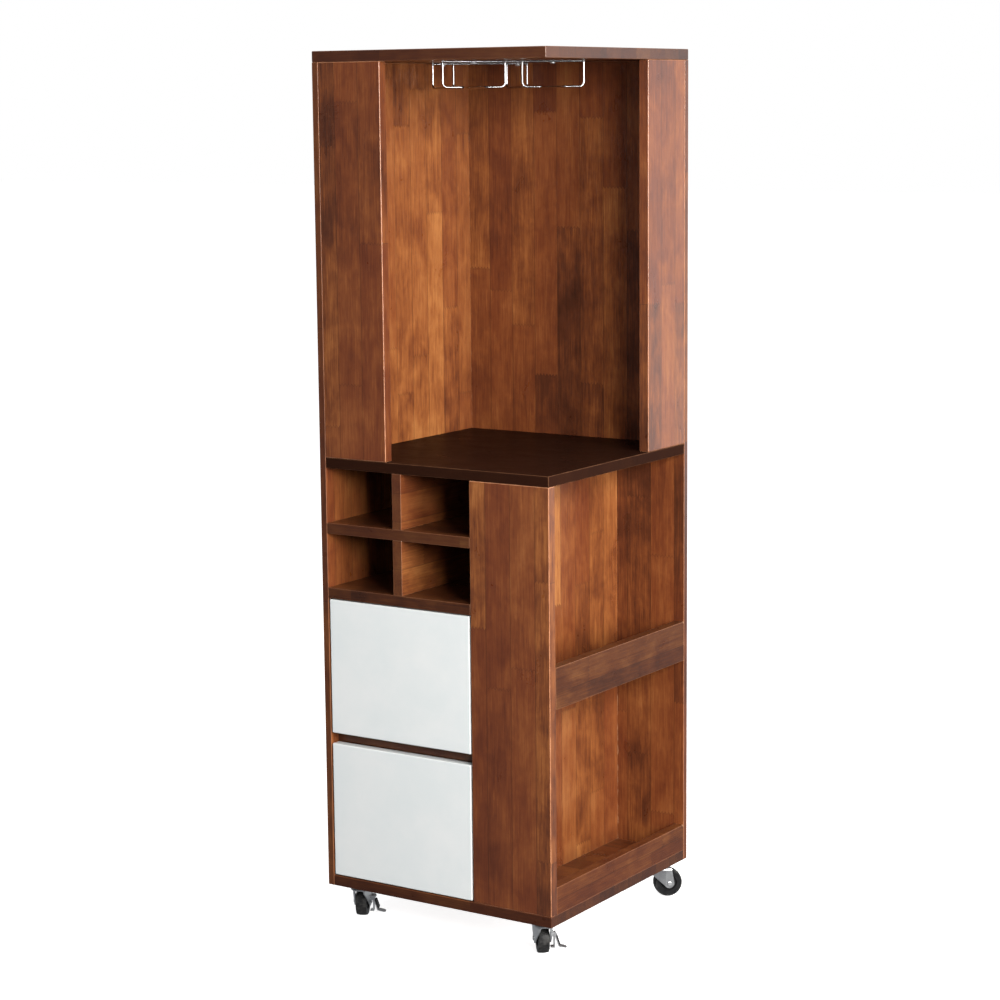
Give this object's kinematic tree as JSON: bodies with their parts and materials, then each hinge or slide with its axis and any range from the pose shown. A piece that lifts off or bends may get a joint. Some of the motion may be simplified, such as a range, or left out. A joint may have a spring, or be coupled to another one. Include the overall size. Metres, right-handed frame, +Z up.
{
  "type": "bar cart on wheels",
  "caption": "Tall square corner bar cabinet on swivel casters: open display niche with hanging glass rack, bottle cubbies, drawers and railed side shelves.",
  "frame": {"origin": "centre of the square plan, on the floor under the wheels", "axes": "+Z up; the drawer and cubby face looks along -Y; the bottle shelves open along +X; the full-height walls are on -X and +Y"},
  "size_m": [0.45, 0.45, 1.47],
  "materials": {
    "stained_board": "walnut-stained edge-glued rubberwood boards, satin varnish, arrises rubbed paler",
    "counter_top": "dark walnut stain, semi-gloss varnish",
    "white_lacquer": "gloss white lacquered slab",
    "birch_ply": "clear-sealed pale plywood",
    "runner_steel": "bright zinc-plated roll-formed steel",
    "chrome_wire": "chromed round wire",
    "zinc_steel": "bright zinc-plated pressed steel",
    "zinc_screw": "zinc-plated screw",
    "black_wheel": "satin black moulded wheel",
    "brake_pad": "matt black moulded grip"
  },
  "bodies": {
    "cabinet": {"left_wall": "stained_board", "back_wall": "stained_board", "top_board": "stained_board", "counter_board": "counter_top", "bottom_board": "stained_board", "left_wing": "stained_board", "right_wing": "stained_board", "partition": "stained_board", "corner_panel": "stained_board", "side_shelf": "stained_board", "side_rail_upper": "stained_board", "side_rail_lower": "stained_board", "cubby_floor": "stained_board", "cubby_shelf": "stained_board", "cubby_divider_lower": "stained_board", "cubby_divider_upper": "stained_board", "drawer_rail": "stained_board", "rack_front_bar": "chrome_wire", "rack_rear_bar": "chrome_wire", "rack_wire_left_outer": "chrome_wire", "rack_wire_left_inner": "chrome_wire", "rack_wire_right_inner": "chrome_wire", "rack_wire_right_outer": "chrome_wire", "rack_screws": "zinc_screw", "upper_drawer_runner_outer": "runner_steel", "lower_drawer_runner_outer": "runner_steel", "caster_plates": "zinc_steel", "caster_kingpins": "zinc_steel", "caster_screws": "zinc_screw"},
    "upper_drawer": {"upper_drawer_front": "white_lacquer", "upper_drawer_side_left": "birch_ply", "upper_drawer_side_right": "birch_ply", "upper_drawer_back": "birch_ply", "upper_drawer_bottom": "birch_ply", "upper_drawer_runner_inner": "runner_steel"},
    "upper_drawer_runner": {"upper_drawer_runner_middle": "runner_steel"},
    "lower_drawer": {"lower_drawer_front": "white_lacquer", "lower_drawer_side_left": "birch_ply", "lower_drawer_side_right": "birch_ply", "lower_drawer_back": "birch_ply", "lower_drawer_bottom": "birch_ply", "lower_drawer_runner_inner": "runner_steel"},
    "lower_drawer_runner": {"lower_drawer_runner_middle": "runner_steel"},
    "open_corner_swivel": {"open_corner_fork": "zinc_steel", "open_corner_axle": "zinc_steel"},
    "open_corner_roller": {"open_corner_wheel": "black_wheel"},
    "open_corner_brake": {"open_corner_pedal": "zinc_steel", "open_corner_pad": "brake_pad"},
    "left_front_swivel": {"left_front_fork": "zinc_steel", "left_front_axle": "zinc_steel"},
    "left_front_roller": {"left_front_wheel": "black_wheel"},
    "left_front_brake": {"left_front_pedal": "zinc_steel", "left_front_pad": "brake_pad"},
    "right_back_swivel": {"right_back_fork": "zinc_steel", "right_back_axle": "zinc_steel"},
    "right_back_roller": {"right_back_wheel": "black_wheel"},
    "left_back_swivel": {"left_back_fork": "zinc_steel", "left_back_axle": "zinc_steel"},
    "left_back_roller": {"left_back_wheel": "black_wheel"}
  },
  "joints": [
    {"name": "upper_drawer_slide", "type": "slide", "parent": "cabinet", "child": "upper_drawer", "axis": [0, -1, 0], "range_m": [0, 0.32]},
    {"name": "upper_drawer_runner_slide", "type": "slide", "parent": "cabinet", "child": "upper_drawer_runner", "axis": [0, -1, 0], "range_m": [0, 0.16]},
    {"name": "lower_drawer_slide", "type": "slide", "parent": "cabinet", "child": "lower_drawer", "axis": [0, -1, 0], "range_m": [0, 0.32]},
    {"name": "lower_drawer_runner_slide", "type": "slide", "parent": "cabinet", "child": "lower_drawer_runner", "axis": [0, -1, 0], "range_m": [0, 0.16]},
    {"name": "open_corner_swivel_turn", "type": "hinge", "parent": "cabinet", "child": "open_corner_swivel", "pos_m": [0.186, -0.186, 0.054], "axis": [0, 0, 1], "continuous": true},
    {"name": "open_corner_wheel_roll", "type": "hinge", "parent": "open_corner_swivel", "child": "open_corner_roller", "pos_m": [0.17314, -0.17068, 0.025], "axis": [-0.766, -0.6428, 0], "continuous": true},
    {"name": "open_corner_brake_press", "type": "hinge", "parent": "open_corner_swivel", "child": "open_corner_brake", "pos_m": [0.18889, -0.15942, 0.033], "axis": [-0.6428, 0.766, 0], "range_deg": [0, 9]},
    {"name": "left_front_swivel_turn", "type": "hinge", "parent": "cabinet", "child": "left_front_swivel", "pos_m": [-0.186, -0.186, 0.054], "axis": [0, 0, 1], "continuous": true},
    {"name": "left_front_wheel_roll", "type": "hinge", "parent": "left_front_swivel", "child": "left_front_roller", "pos_m": [-0.19477, -0.16802, 0.025], "axis": [-0.8988, -0.4384, 0], "continuous": true},
    {"name": "left_front_brake_press", "type": "hinge", "parent": "left_front_swivel", "child": "left_front_brake", "pos_m": [-0.17676, -0.16091, 0.033], "axis": [-0.4384, 0.8988, 0], "range_deg": [0, 9]},
    {"name": "right_back_swivel_turn", "type": "hinge", "parent": "cabinet", "child": "right_back_swivel", "pos_m": [0.186, 0.186, 0.054], "axis": [0, 0, 1], "continuous": true},
    {"name": "right_back_wheel_roll", "type": "hinge", "parent": "right_back_swivel", "child": "right_back_roller", "pos_m": [0.20014, 0.20014, 0.025], "axis": [-0.7071, 0.7071, 0], "continuous": true},
    {"name": "left_back_swivel_turn", "type": "hinge", "parent": "cabinet", "child": "left_back_swivel", "pos_m": [-0.186, 0.186, 0.054], "axis": [0, 0, 1], "continuous": true},
    {"name": "left_back_wheel_roll", "type": "hinge", "parent": "left_back_swivel", "child": "left_back_roller", "pos_m": [-0.17314, 0.17068, 0.025], "axis": [0.766, 0.6428, 0], "continuous": true}
  ],
  "couplings": [
    {"joint": "upper_drawer_runner_slide", "follows": "upper_drawer_slide", "ratio": 0.5},
    {"joint": "lower_drawer_runner_slide", "follows": "lower_drawer_slide", "ratio": 0.5}
  ]
}
